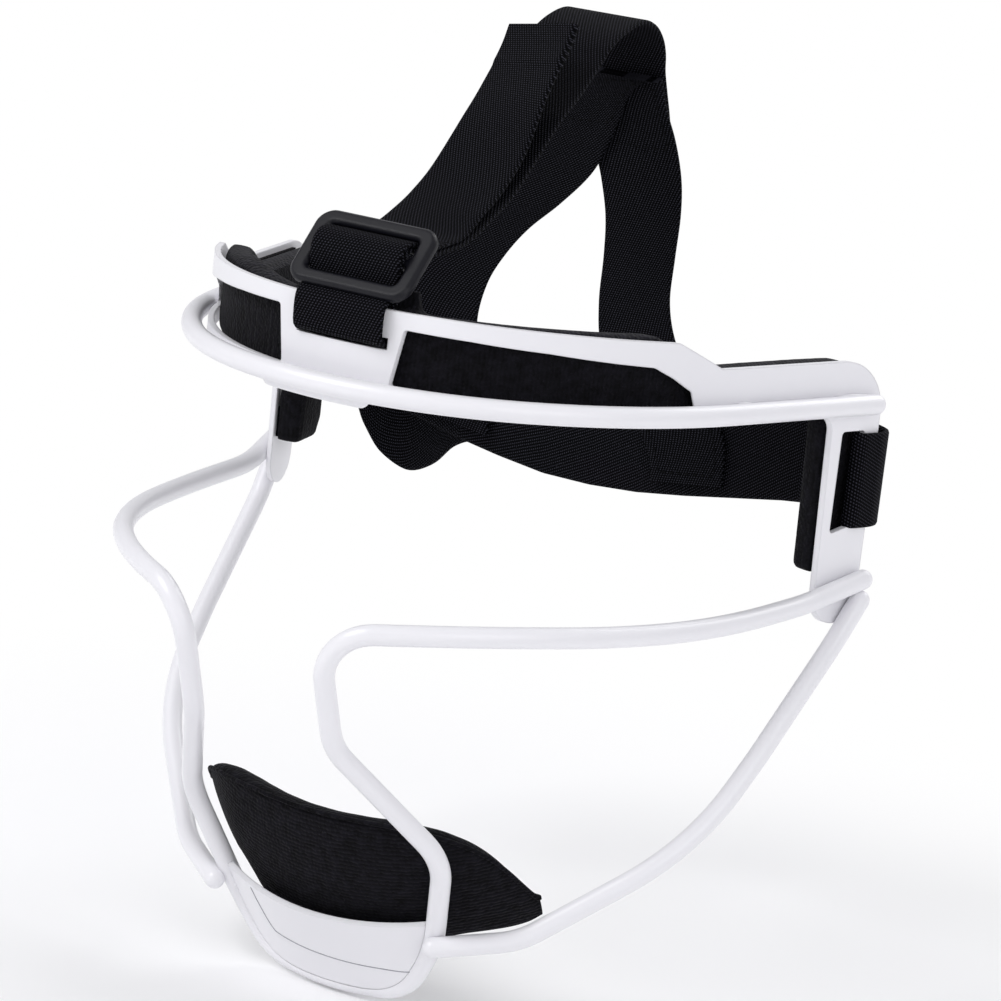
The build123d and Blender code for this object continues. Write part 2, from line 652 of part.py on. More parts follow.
def rear_web(points, low_edge, before=None, after=None):
    """Part of the rear strap between two places, hanging as low as its lower edge says."""
    with BuildSketch(Plane.XY.offset(web_low_z)) as course:
        ribbon(points, web_t, before, after)
    extrude(course.sketch, amount=web_tall)
    with BuildSketch(Plane.XZ) as spread:
        band_between(low_edge, raised(low_edge, web_w))
    extrude(spread.sketch, amount=-leg_reach, mode=Mode.INTERSECT)


with BuildPart() as rear_strap:
    rear_web(rear_line + swap(rear_line[-2::-1]), rear_low_edge, span_line[-2], swap(span_line)[-2])
rear_strap.part.label = "rear_strap"
export_step(rear_strap.part, "parts/rear_strap.step")

with BuildPart() as rear_span_left:
    rear_web(span_line, tuple(zip(span_x, near_low_z)), tab_line[-2], rear_line[1])
rear_span_left.part.label = "rear_span_left"
export_step(rear_span_left.part, "parts/rear_span_left.step")

with BuildPart() as rear_span_right:
    rear_web(swap(span_line), swap(zip(span_x, far_low_z)), swap(tab_line)[-2], swap(rear_line)[1])
rear_span_right.part.label = "rear_span_right"
export_step(rear_span_right.part, "parts/rear_span_right.step")

with BuildPart() as rear_slack:
    rear_web(slack_line, slack_low_edge)
rear_slack.part.label = "rear_slack"
export_step(rear_slack.part, "parts/rear_slack.step")

with BuildPart() as rear_wrap_left:
    with BuildSketch(Plane.XY.offset(web_slot_low)):
        jointed(tab_line, web_t, after=span_line[1])
    extrude(amount=web_w)
    add(brow_band.part, mode=Mode.SUBTRACT)
rear_wrap_left.part.label = "rear_wrap_left"
export_step(rear_wrap_left.part, "parts/rear_wrap_left.step")

with BuildPart() as rear_wrap_right:
    add(mirror(rear_wrap_left.part, about=Plane.YZ))
rear_wrap_right.part.label = "rear_wrap_right"
export_step(rear_wrap_right.part, "parts/rear_wrap_right.step")
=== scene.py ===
import bpy
import math
import numpy as np
from mathutils import Vector, Matrix


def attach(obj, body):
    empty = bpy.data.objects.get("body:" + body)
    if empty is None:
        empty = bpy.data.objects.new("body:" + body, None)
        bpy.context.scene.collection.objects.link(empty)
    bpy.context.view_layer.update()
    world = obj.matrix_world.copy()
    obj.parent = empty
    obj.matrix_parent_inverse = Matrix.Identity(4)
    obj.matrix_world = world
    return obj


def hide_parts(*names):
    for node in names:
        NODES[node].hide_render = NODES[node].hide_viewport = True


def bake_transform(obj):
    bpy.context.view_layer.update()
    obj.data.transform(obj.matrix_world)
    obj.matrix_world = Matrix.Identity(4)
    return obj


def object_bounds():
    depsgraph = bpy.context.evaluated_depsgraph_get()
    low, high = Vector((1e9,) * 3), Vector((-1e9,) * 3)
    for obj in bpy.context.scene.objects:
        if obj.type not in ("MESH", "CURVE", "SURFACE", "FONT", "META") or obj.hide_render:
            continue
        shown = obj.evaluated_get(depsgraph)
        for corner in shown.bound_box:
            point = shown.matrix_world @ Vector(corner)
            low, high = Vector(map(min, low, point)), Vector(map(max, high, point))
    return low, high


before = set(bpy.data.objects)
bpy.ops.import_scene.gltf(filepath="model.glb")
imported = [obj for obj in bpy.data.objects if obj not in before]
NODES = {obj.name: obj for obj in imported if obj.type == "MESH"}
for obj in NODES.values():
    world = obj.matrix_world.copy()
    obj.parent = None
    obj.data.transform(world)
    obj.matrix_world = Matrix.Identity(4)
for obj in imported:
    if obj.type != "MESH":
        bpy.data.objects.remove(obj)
cad_low, cad_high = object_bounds()
MM = 0.001
scene = bpy.context.scene
scene.view_settings.view_transform = "Standard"

# Camera fitted to the photograph, with its place in millimetres.
EYE = (550.1, -900.0, 249.3)
EYE_RIGHT = (0.8383, 0.5335, 0.1126)
EYE_UP = (-0.2095, 0.1246, 0.9698)
LENS = 147.76
SENSOR = 36.0
# Distances from the middle between which the floor turns plain white, in metres.
FADE_START = 0.12
FADE_END = 0.34
# Angles, in degrees, above which an edge stays sharp.
CREASE_CAD = 35.0
CREASE_MADE = 50.0


# Camera, light and floor.

def make_camera():
    data = bpy.data.cameras.new("camera")
    obj = bpy.data.objects.new("camera", data)
    bpy.context.collection.objects.link(obj)
    right = Vector(EYE_RIGHT).normalized()
    up = Vector(EYE_UP)
    up = (up - right * up.dot(right)).normalized()
    back = right.cross(up)
    m = Matrix((right, up, back)).transposed().to_4x4()
    m.translation = Vector(EYE) * MM
    obj.matrix_world = m
    data.sensor_fit = "HORIZONTAL"
    data.sensor_width = SENSOR
    data.lens = LENS
    data.clip_start = 0.05
    data.clip_end = 20.0
    scene.camera = obj


def area_light(name, place, size, power, aim=(0, -0.01, 0.01)):
    data = bpy.data.lights.new(name, "AREA")
    data.shape = "DISK"
    data.size = size
    data.energy = power
    obj = bpy.data.objects.new(name, data)
    bpy.context.collection.objects.link(obj)
    obj.location = place
    obj.rotation_euler = (Vector(aim) - Vector(place)).to_track_quat("-Z", "Y").to_euler()


def new_material(name):
    mat = bpy.data.materials.new(name)
    mat.use_nodes = True
    tree = mat.node_tree
    return mat, tree, tree.nodes["Principled BSDF"]


def node(tree, kind, **values):
    n = tree.nodes.new(kind)
    for key, value in values.items():
        if key in n.inputs:
            n.inputs[key].default_value = value
        else:
            setattr(n, key, value)
    return n


def maths(tree, op, a, b=None):
    m = tree.nodes.new("ShaderNodeMath")
    m.operation = op
    for i, value in enumerate((a, b)):
        if isinstance(value, (int, float)):
            m.inputs[i].default_value = value
        elif value is not None:
            tree.links.new(value, m.inputs[i])
    return m.outputs[0]


def ramp_colour(tree, value, low, high, start=0.0, end=1.0):
    """Colour between two tones; each tone is (r, g, b)."""
    ramp = tree.nodes.new("ShaderNodeValToRGB")
    ramp.color_ramp.elements[0].position = start
    ramp.color_ramp.elements[0].color = tuple(low) + (1,)
    ramp.color_ramp.elements[1].position = end
    ramp.color_ramp.elements[1].color = tuple(high) + (1,)
    tree.links.new(value, ramp.inputs["Fac"])
    return ramp.outputs["Color"]


def make_floor():
    """White floor that turns to plain white for the camera away from the object."""
    bpy.ops.mesh.primitive_plane_add(size=8.0, location=(0, 0, cad_low[2] - 0.0005))
    floor = bpy.context.object
    floor.name = "floor"
    mat, tree, bsdf = new_material("floor_white")
    links = tree.links
    bsdf.inputs["Base Color"].default_value = (0.93, 0.93, 0.935, 1)
    bsdf.inputs["Roughness"].default_value = 0.9
    bsdf.inputs["Specular IOR Level"].default_value = 0.1
    coord = tree.nodes.new("ShaderNodeTexCoord")
    reach = tree.nodes.new("ShaderNodeVectorMath")
    reach.operation = "LENGTH"
    links.new(coord.outputs["Object"], reach.inputs[0])
    far = tree.nodes.new("ShaderNodeMapRange")
    far.interpolation_type = "SMOOTHSTEP"
    far.inputs["From Min"].default_value = FADE_START
    far.inputs["From Max"].default_value = FADE_END
    links.new(reach.outputs["Value"], far.inputs["Value"])
    path = tree.nodes.new("ShaderNodeLightPath")
    plain = node(tree, "ShaderNodeEmission", Color=(1, 1, 1, 1), Strength=1.0)
    mix = tree.nodes.new("ShaderNodeMixShader")
    seen_far = maths(tree, "MULTIPLY", far.outputs["Result"], path.outputs["Is Camera Ray"])
    links.new(seen_far, mix.inputs[0])
    links.new(bsdf.outputs[0], mix.inputs[1])
    links.new(plain.outputs[0], mix.inputs[2])
    links.new(mix.outputs[0], tree.nodes["Material Output"].inputs["Surface"])
    floor.data.materials.append(mat)


def make_world():
    world = bpy.data.worlds.new("studio")
    scene.world = world
    world.use_nodes = True
    tree = world.node_tree
    tree.nodes.clear()
    out = tree.nodes.new("ShaderNodeOutputWorld")
    mix = tree.nodes.new("ShaderNodeMixShader")
    soft = node(tree, "ShaderNodeBackground", Color=(0.97, 0.97, 1.0, 1), Strength=0.6)
    plain = node(tree, "ShaderNodeBackground", Color=(1, 1, 1, 1), Strength=1.0)
    path = tree.nodes.new("ShaderNodeLightPath")
    tree.links.new(path.outputs["Is Camera Ray"], mix.inputs[0])
    tree.links.new(soft.outputs[0], mix.inputs[1])
    tree.links.new(plain.outputs[0], mix.inputs[2])
    tree.links.new(mix.outputs[0], out.inputs[0])


make_camera()
make_world()
make_floor()
area_light("key", (-0.9, -1.3, 1.5), 1.1, 20.0)
area_light("fill", (1.5, -0.9, 0.7), 1.3, 7.0)
area_light("rear", (0.3, 1.4, 1.2), 1.2, 10.0)


# Materials.

def coat_material():
    """Powder coat: satin white with faint orange peel and slight unevenness of gloss."""
    mat, tree, bsdf = new_material("white_powder_coat")
    links = tree.links
    coord = tree.nodes.new("ShaderNodeTexCoord")
    broad = node(tree, "ShaderNodeTexNoise", Scale=22.0, Detail=3.0)
    links.new(coord.outputs["Object"], broad.inputs["Vector"])
    tone = ramp_colour(tree, broad.outputs["Fac"], (0.80, 0.795, 0.83), (0.835, 0.83, 0.86))
    links.new(tone, bsdf.inputs["Base Color"])
    rough = tree.nodes.new("ShaderNodeMapRange")
    rough.inputs["To Min"].default_value = 0.30
    rough.inputs["To Max"].default_value = 0.40
    links.new(broad.outputs["Fac"], rough.inputs["Value"])
    links.new(rough.outputs["Result"], bsdf.inputs["Roughness"])
    peel = node(tree, "ShaderNodeTexNoise", Scale=900.0, Detail=2.0)
    links.new(coord.outputs["Object"], peel.inputs["Vector"])
    bump = node(tree, "ShaderNodeBump", Strength=0.10, Distance=0.00004)
    bevel = node(tree, "ShaderNodeBevel", samples=6)
    bevel.inputs["Radius"].default_value = 0.0006
    links.new(bevel.outputs["Normal"], bump.inputs["Normal"])
    links.new(peel.outputs["Fac"], bump.inputs["Height"])
    links.new(bump.outputs["Normal"], bsdf.inputs["Normal"])
    bsdf.inputs["Coat Weight"].default_value = 0.25
    bsdf.inputs["Coat Roughness"].default_value = 0.18
    return mat


def webbing_material(name, tone=0.0034, rib_pitch=0.9, weft_pitch=0.62):
    """Elastic webbing: UV x across and y along the strap, both in millimetres."""
    mat, tree, bsdf = new_material(name)
    links = tree.links
    uv = tree.nodes.new("ShaderNodeUVMap")
    uv.uv_map = "UVMap"
    split = tree.nodes.new("ShaderNodeSeparateXYZ")
    links.new(uv.outputs["UV"], split.inputs[0])
    x, y = split.outputs[0], split.outputs[1]
    turn = 2 * math.pi
    lean = maths(tree, "ADD", x, maths(tree, "MULTIPLY", y, 0.5))
    rib = maths(tree, "SINE", maths(tree, "MULTIPLY", lean, turn / rib_pitch))
    weft = maths(tree, "SINE", maths(tree, "MULTIPLY", y, turn / weft_pitch))
    pick = maths(tree, "MULTIPLY", weft, maths(tree, "ADD", rib, 0.6))
    noise = node(tree, "ShaderNodeTexNoise", Scale=1.7, Detail=4.0)
    links.new(uv.outputs["UV"], noise.inputs["Vector"])
    weave = maths(tree, "ADD", maths(tree, "MULTIPLY", rib, 0.55),
                  maths(tree, "MULTIPLY", pick, 0.5))
    height = maths(tree, "ADD", weave, maths(tree, "MULTIPLY", noise.outputs["Fac"], 0.5))
    bump = node(tree, "ShaderNodeBump", Strength=0.85, Distance=0.00022)
    links.new(height, bump.inputs["Height"])
    links.new(bump.outputs["Normal"], bsdf.inputs["Normal"])
    # Base colour follows the weave's height: painted highlight on the raised thread tops and
    # painted shade in the gaps between threads.
    painted_weave_light = tree.nodes.new("ShaderNodeMapRange")
    painted_weave_light.inputs["From Min"].default_value = -0.9
    painted_weave_light.inputs["From Max"].default_value = 1.4
    links.new(height, painted_weave_light.inputs["Value"])
    dark = (tone * 0.15, tone * 0.15, tone * 0.3)
    light = (tone * 13.0, tone * 13.0, tone * 17.0)
    colour = ramp_colour(tree, painted_weave_light.outputs["Result"], dark, light, 0.5, 1.05)
    links.new(colour, bsdf.inputs["Base Color"])
    bsdf.inputs["Roughness"].default_value = 0.66
    bsdf.inputs["Specular IOR Level"].default_value = 0.04
    return mat


def knit_material(name, tone=0.0035, cell=1000.0, sheen=0.02, rows=(0.7, 0.7, 0.0), depth=0.14,
                  row_pitch=0.0011):
    """Brushed knit over foam; its stitch rows, row_pitch metres apart, lie across rows."""
    mat, tree, bsdf = new_material(name)
    links = tree.links
    coord = tree.nodes.new("ShaderNodeTexCoord")
    vor = node(tree, "ShaderNodeTexVoronoi", Scale=cell)
    vor.inputs["Randomness"].default_value = 0.75
    links.new(coord.outputs["Object"], vor.inputs["Vector"])
    noise = node(tree, "ShaderNodeTexNoise", Scale=cell * 0.45, Detail=4.0)
    links.new(coord.outputs["Object"], noise.inputs["Vector"])
    along = tree.nodes.new("ShaderNodeVectorMath")
    along.operation = "DOT_PRODUCT"
    along.inputs[1].default_value = rows
    links.new(coord.outputs["Object"], along.inputs[0])
    turns = maths(tree, "MULTIPLY", along.outputs["Value"], 2 * math.pi / row_pitch)
    phase = maths(tree, "ADD", turns, maths(tree, "MULTIPLY", noise.outputs["Fac"], 8.0))
    stitch = maths(tree, "MULTIPLY", maths(tree, "SINE", phase), depth)
    pile = maths(tree, "ADD", vor.outputs["Distance"], noise.outputs["Fac"])
    rough = maths(tree, "ADD", pile, stitch)
    bump = node(tree, "ShaderNodeBump", Strength=0.8, Distance=0.0004)
    links.new(rough, bump.inputs["Height"])
    links.new(bump.outputs["Normal"], bsdf.inputs["Normal"])
    dark = (tone * 0.35, tone * 0.33, tone * 0.5)
    light = (tone * 1.9, tone * 1.8, tone * 2.7)
    # Colour mixes the knit's random tone from the noise with painted shade from the stitch rows:
    # darker in the row grooves, lighter on their ridges.
    shade = maths(tree, "ADD", noise.outputs["Fac"], maths(tree, "MULTIPLY", stitch, 0.35))
    colour = ramp_colour(tree, shade, dark, light, 0.3, 0.75)
    links.new(colour, bsdf.inputs["Base Color"])
    bsdf.inputs["Roughness"].default_value = 0.85
    bsdf.inputs["Sheen Weight"].default_value = sheen
    bsdf.inputs["Sheen Roughness"].default_value = 0.5
    bsdf.inputs["Specular IOR Level"].default_value = 0.1
    return mat


def groove_shadow_material():
    """Grey paint on the thin ridge that stands in for the chin plate's fine groove: painted
    groove shadow.
    """
    mat, tree, bsdf = new_material("grey_groove_shadow_paint")
    coord = tree.nodes.new("ShaderNodeTexCoord")
    noise = node(tree, "ShaderNodeTexNoise", Scale=900.0, Detail=3.0)
    tree.links.new(coord.outputs["Object"], noise.inputs["Vector"])
    tone = ramp_colour(tree, noise.outputs["Fac"], (0.16, 0.16, 0.19), (0.42, 0.42, 0.46))
    tree.links.new(tone, bsdf.inputs["Base Color"])
    bsdf.inputs["Roughness"].default_value = 0.5
    return mat


def plastic_material():
    """Moulded black plastic with rounded edges and a fine grain."""
    mat, tree, bsdf = new_material("black_moulded_plastic")
    links = tree.links
    coord = tree.nodes.new("ShaderNodeTexCoord")
    noise = node(tree, "ShaderNodeTexNoise", Scale=1500.0, Detail=3.0)
    links.new(coord.outputs["Object"], noise.inputs["Vector"])
    bump = node(tree, "ShaderNodeBump", Strength=0.25, Distance=0.00005)
    bevel = node(tree, "ShaderNodeBevel", samples=6)
    bevel.inputs["Radius"].default_value = 0.0011
    links.new(bevel.outputs["Normal"], bump.inputs["Normal"])
    links.new(noise.outputs["Fac"], bump.inputs["Height"])
    links.new(bump.outputs["Normal"], bsdf.inputs["Normal"])
    tone = ramp_colour(tree, noise.outputs["Fac"], (0.0034, 0.0034, 0.0058),
                       (0.0066, 0.0066, 0.0108))
    links.new(tone, bsdf.inputs["Base Color"])
    bsdf.inputs["Roughness"].default_value = 0.36
    bsdf.inputs["Specular IOR Level"].default_value = 0.24
    return mat


def thread_material():
    """Black sewing thread."""
    mat, tree, bsdf = new_material("black_thread")
    coord = tree.nodes.new("ShaderNodeTexCoord")
    noise = node(tree, "ShaderNodeTexNoise", Scale=3000.0, Detail=2.0)
    tree.links.new(coord.outputs["Object"], noise.inputs["Vector"])
    tone = ramp_colour(tree, noise.outputs["Fac"], (0.0015, 0.0015, 0.002), (0.004, 0.004, 0.005))
    tree.links.new(tone, bsdf.inputs["Base Color"])
    bsdf.inputs["Roughness"].default_value = 0.6
    bsdf.inputs["Specular IOR Level"].default_value = 0.06
    return mat


COAT = coat_material()
WEB = webbing_material("black_webbing")
KNIT = knit_material("black_knit")
FOAM = knit_material("black_cut_foam", tone=0.007, cell=700.0, sheen=0.05)
CHIN_KNIT = knit_material("black_chin_knit", tone=0.0042, cell=900.0, rows=(0.0, -0.5, 0.866),
                          depth=0.26)
# Grey of the chin plate's fine line is painted shadow of a groove.
GROOVE_SHADOW = groove_shadow_material()
HOOK = knit_material("black_hook_strip", tone=0.004, cell=1400.0)
PLASTIC = plastic_material()
THREAD = thread_material()

STEEL = ("brow_band", "brow_wire", "brow_rod", "cage_wire", "jaw_wire_left", "jaw_wire_right",
         "chin_plate")
STRIPS = ("chin_tape", "forehead_tape", "temple_strip_left", "temple_strip_right",
          "plate_tape_left", "plate_tape_right")


def dress(names, mat):
    """Material, smooth shading and split creases on pieces that show their CAD mesh."""
    for name in names:
        obj = NODES[name]
        obj.data.materials.clear()
        obj.data.materials.append(mat)
        obj.data.polygons.foreach_set("use_smooth", [True] * len(obj.data.polygons))
        weld = obj.modifiers.new("weld", "WELD")
        weld.merge_threshold = 0.00002
        split = obj.modifiers.new("crease", "EDGE_SPLIT")
        split.split_angle = math.radians(CREASE_CAD)


dress(STEEL, COAT)
dress(STRIPS, HOOK)
dress(("tri_glide",), PLASTIC)


def even_wire(obj, voxel):
    """Remeshed skin for a wire whose sweep laps over itself in a thin ring on each cheek."""
    obj.modifiers.remove(obj.modifiers["crease"])
    remesh = obj.modifiers.new("skin", "REMESH")
    remesh.mode = "VOXEL"
    remesh.voxel_size = voxel
    remesh.use_smooth_shade = True
    smooth = obj.modifiers.new("even", "SMOOTH")
    smooth.factor = 0.5
    smooth.iterations = 6


even_wire(NODES["cage_wire"], voxel=0.0004)


# Straps. Points are in millimetres, in the shared frame.

def smooth_row(points, count):
    """Even steps along a smooth course through the points."""
    p = np.asarray(points, float)
    p = np.vstack([2 * p[0] - p[1], p, 2 * p[-1] - p[-2]])
    out = []
    for i in range(1, len(p) - 2):
        t = np.linspace(0, 1, 24, endpoint=False)[:, None]
        a, b, c, d = p[i - 1], p[i], p[i + 1], p[i + 2]
        out.append(0.5 * ((2 * b) + (c - a) * t + (2 * a - 5 * b + 4 * c - d) * t ** 2
                          + (3 * b - a - 3 * c + d) * t ** 3))
    out.append(p[-2:-1])
    q = np.vstack(out)
    s = arc_length(q)
    want = np.linspace(0, s[-1], count)
    return np.stack([np.interp(want, s, q[:, k]) for k in range(q.shape[1])], 1)


def arc_length(p):
    return np.concatenate([[0], np.cumsum(np.linalg.norm(np.diff(p, axis=0), axis=1))])


# Columns across a strap, from -1 to 1, and where its edge begins to round off.
ACROSS = np.array([-1, -0.985, -0.94, -0.86, -0.7, -0.45, -0.15,
                   0.15, 0.45, 0.7, 0.86, 0.94, 0.985, 1])
EDGE = 0.94
# Sizes of the straps and of one stitch, in millimetres, and rows along each kind of strap.
WIDTH = 25.4
THICK = 1.4
STITCH = 1.9
STITCH_STEP = 2.7
LEG_ROWS = 110
SIDE_ROWS = 190
SLOT_ROWS = 95
REAR_ROWS = 60


class Shape:
    """Vertices, faces, UVs and material numbers of a mesh that is put together in steps."""

    def __init__(self):
        self.verts = []
        self.faces = []
        self.uvs = []
        self.mats = []

    def face(self, ring, uv, mat=0):
        self.faces.append(ring)
        self.uvs += uv
        self.mats.append(mat)

    def done(self, name, mats):
        mesh = bpy.data.meshes.new(name)
        mesh.from_pydata([tuple(v * MM) for v in self.verts], [], self.faces)
        layer = mesh.uv_layers.new(name="UVMap")
        layer.data.foreach_set("uv", np.asarray(self.uvs, float).ravel())
        for m in mats:
            mesh.materials.append(m)
        mesh.polygons.foreach_set("material_index", self.mats)
        mesh.polygons.foreach_set("use_smooth", [True] * len(mesh.polygons))
        obj = bpy.data.objects.new(name, mesh)
        bpy.context.collection.objects.link(obj)
        split = obj.modifiers.new("crease", "EDGE_SPLIT")
        split.split_angle = math.radians(CREASE_MADE)
        return obj


def add_bar(shape, a, b, up, wide, high, mat):
    """Rounded spindle from a to b, used for stitches and weld beads."""
    axis = b - a
    side = np.cross(axis, up)
    side = side / (np.linalg.norm(side) + 1e-9)
    top = np.cross(side, axis)
    top = top / (np.linalg.norm(top) + 1e-9)
    first = len(shape.verts)
    shape.verts.append(a)
    for f, k in ((0.14, 0.72), (0.5, 1.0), (0.86, 0.72)):
        for i in range(8):
            t = math.pi * i / 4
            spoke = side * math.cos(t) * wide + top * math.sin(t) * high
            shape.verts.append(a + axis * f + spoke * k)
    shape.verts.append(b)
    last = len(shape.verts) - 1
    for i in range(8):
        j = (i + 1) % 8
        shape.face([first, first + 1 + j, first + 1 + i], [(0, 0)] * 3, mat)
        for k in (0, 8):
            ring = [first + 1 + k + i, first + 1 + k + j, first + 9 + k + j, first + 9 + k + i]
            shape.face(ring, [(0, 0)] * 4, mat)
        shape.face([last, first + 17 + i, first + 17 + j], [(0, 0)] * 3, mat)


def surface_point(grid, normals, s, along, across, face):
    """Point and normal on one face of a strap, from lengths along and across it."""
    row = float(np.interp(along, s, np.arange(len(s))))
    i = min(int(row), len(s) - 2)
    f = row - i
    g = grid[i] * (1 - f) + grid[i + 1] * f
    n = normals[i] * (1 - f) + normals[i + 1] * f
    a = across / (WIDTH / 2)
    p = np.array([np.interp(a, ACROSS, g[:, k]) for k in range(3)])
    m = np.array([np.interp(a, ACROSS, n[:, k]) for k in range(3)]) * face
    return p + m * (THICK / 2 + 0.02), m


def add_seam(shape, grid, normals, s, line, face):
    """Row of stitches along a line given as (along, across) points."""
    line = np.asarray(line, float)
    length = arc_length(line)
    count = max(2, int(length[-1] / STITCH_STEP))
    step = length[-1] / count
    for i in range(count):
        ends = []
        for f in (i * step + 0.2, i * step + STITCH):
            spot = [np.interp(f, length, line[:, k]) for k in (0, 1)]
            ends.append(surface_point(grid, normals, s, spot[0], spot[1], face))
        add_bar(shape, ends[0][0], ends[1][0], ends[0][1], 0.26, 0.20, 1)


def box_seam(start, end, half, cross=True):
    """Stitched box with a cross in it."""
    lines = [((start, -half), (start, half), (end, half), (end, -half), (start, -half))]
    if cross:
        lines += [((start, -half), (end, half)), ((start, half), (end, -half))]
    return lines


def strap_mesh(name, grid, s, seams=(), extra=None):
    """Closed strap from a grid of mid-surface points, with rows of stitches on its faces."""
    g = np.asarray(grid, float)
    rows, cols = g.shape[:2]
    n = np.cross(np.gradient(g, axis=1), np.gradient(g, axis=0))
    n /= np.linalg.norm(n, axis=2, keepdims=True) + 1e-12
    a = np.abs(ACROSS)
    bulge = np.where(a > EDGE, np.sqrt(np.clip(1 - ((a - EDGE) / (1 - EDGE)) ** 2, 0, 1)), 1.0)
    thick = THICK / 2 + (np.zeros(rows) if extra is None else np.asarray(extra))
    half = thick[:, None] * bulge[None, :]
    shape = Shape()
    top = np.zeros((rows, cols), int)
    low = np.zeros((rows, cols), int)
    for i in range(rows):
        for j in range(cols):
            top[i, j] = low[i, j] = len(shape.verts)
            shape.verts.append(g[i, j] + n[i, j] * half[i, j])
            if 0 < j < cols - 1:
                low[i, j] = len(shape.verts)
                shape.verts.append(g[i, j] - n[i, j] * half[i, j])
    u = ACROSS * WIDTH / 2
    for i in range(rows - 1):
        for j in range(cols - 1):
            uv = [(u[j], s[i]), (u[j + 1], s[i]), (u[j + 1], s[i + 1]), (u[j], s[i + 1])]
            shape.face([top[i, j], top[i, j + 1], top[i + 1, j + 1], top[i + 1, j]], uv)
            shape.face([low[i + 1, j], low[i + 1, j + 1], low[i, j + 1], low[i, j]],
                       [uv[3], uv[2], uv[1], uv[0]])
    for i, flip in ((0, False), (rows - 1, True)):
        for j in range(cols - 1):
            ring = [top[i, j], low[i, j], low[i, j + 1], top[i, j + 1]]
            ring = [r for k, r in enumerate(ring) if r not in ring[:k]]
            if len(ring) > 2:
                shape.face(ring[::-1] if flip else ring, [(u[j], s[i])] * len(ring))
    for line, face in seams:
        add_seam(shape, g, n, s, line, face)
    return shape.done(name, [WEB, THREAD])


def side_course(course, shift, yaw=None, tilt=None, wide=None, step=1.2):
    """Strap that runs in a YZ plane; shift, yaw, tilt and width are given for each row."""
    length = arc_length(np.asarray(course, float))[-1]
    rows = max(8, int(length / step))
    p = smooth_row(course, rows)
    grid = np.zeros((rows, len(ACROSS), 3))
    x = np.array([shift(q[0]) for q in p])
    lead = np.zeros(rows) if yaw is None else np.array([yaw(q[1]) for q in p])
    rise = np.zeros(rows) if tilt is None else np.array([tilt(q[1]) for q in p])
    half = np.full(rows, WIDTH / 2) if wide is None else np.array([wide(q[0]) for q in p]) / 2
    for j, a in enumerate(ACROSS):
        grid[:, j, 0] = x + a * half
        grid[:, j, 1] = p[:, 0] - a * lead
        grid[:, j, 2] = p[:, 1] + (a - 0.3) * rise
    return grid, arc_length(p)


LOOP = ((-48.0, 87.7), (-52.6, 87.2), (-56.6, 87.4), (-60.6, 88.2), (-63.6, 88.9),
        (-65.8, 88.9), (-67.6, 87.9), (-68.5, 85.7), (-68.2, 83.0), (-67.9, 80.3),
        (-68.5, 77.5), (-69.6, 75.2), (-69.9, 72.5), (-69.9, 69.0), (-70.1, 67.6),
        (-70.9, 66.5), (-72.25, 66.15), (-73.6, 66.5), (-74.4, 67.6), (-74.6, 69.0),
        (-74.75, 72.5), (-74.3, 75.3), (-72.4, 77.0), (-70.2, 78.3), (-69.5, 80.6),
        (-69.8, 83.2), (-70.1, 85.9), (-69.1, 88.6), (-66.9, 90.3), (-64.0, 90.5),
        (-60.5, 89.8), (-56.5, 89.0), (-52.5, 88.8), (-48.0, 89.3))
TAIL = ((-48.0, 89.3), (-41.6, 90.35), (-35.0, 93.1), (-28.5, 96.9), (-22.7, 100.9),
        (-17.3, 105.8), (-12.6, 111.1), (-8.4, 116.9), (-3.7, 124.0), (1.0, 130.6),
        (4.8, 136.0), (7.2, 141.0))
RUN = ((-48.0, 87.7), (-41.3, 88.6), (-34.2, 91.3), (-27.2, 95.2), (-20.9, 99.0),
       (-15.1, 104.0), (-7.8, 111.2), (-0.5, 118.1), (9.8, 125.0), (17.5, 131.0))
CROWN = ((17.5, 131.0), (22.9, 136.0), (29.3, 139.6), (37.7, 141.9), (44.3, 140.8),
         (49.0, 137.2), (51.3, 133.0), (52.2, 128.4), (54.6, 122.6), (57.4, 116.2),
         (59.6, 109.8), (60.8, 103.2))
LEG_LEFT_SIDE = ((51.0, 126.6), (53.1, 121.8), (55.8, 115.4), (57.9, 109.2), (59.1, 103.0),
                 (60.1, 94.0), (60.4, 80.0), (59.8, 64.0), (58.9, 50.0), (58.2, 40.0),
                 (58.0, 28.0), (58.0, 10.0))
LEG_RIGHT_SIDE = ((49.4, 125.9), (51.5, 121.1), (54.1, 114.8), (56.2, 108.8), (57.4, 102.8),
                  (58.3, 94.0), (58.5, 80.0), (57.9, 64.0), (57.1, 50.0), (57.0, 40.0),
                  (57.4, 28.0), (57.4, 10.0))
LEG_LEFT = (((-12.7, 126.4), (-12.7, 118.0), (-10.5, 106.0), (-7.5, 96.0), (-5.0, 86.0),
             (-4.0, 75.0), (-3.4, 62.0), (-0.5, 50.0), (7.0, 40.0), (14.0, 32.0),
             (19.0, 24.0), (20.5, 17.2)),
            ((12.7, 126.4), (13.2, 118.0), (15.2, 110.0), (17.4, 100.0), (18.2, 90.0),
             (18.0, 78.0), (18.4, 66.0), (22.0, 56.0), (29.0, 46.5), (37.0, 39.0),
             (41.5, 32.0), (42.5, 20.0)))
LEG_RIGHT = (((-12.7, 125.8), (-18.0, 119.0), (-28.0, 109.5), (-38.5, 100.0), (-49.5, 89.0),
              (-59.5, 76.0), (-68.0, 64.0), (-68.0, 52.0), (-63.0, 42.0), (-59.0, 32.0),
              (-56.5, 21.9)),
             ((12.7, 125.8), (7.0, 124.5), (2.0, 119.0), (-3.5, 108.0), (-9.5, 97.0),
              (-18.5, 87.0), (-27.5, 78.5), (-34.0, 70.0), (-38.5, 61.0), (-40.0, 50.0),
              (-37.0, 40.0), (-34.0, 30.0), (-32.5, 19.0)))
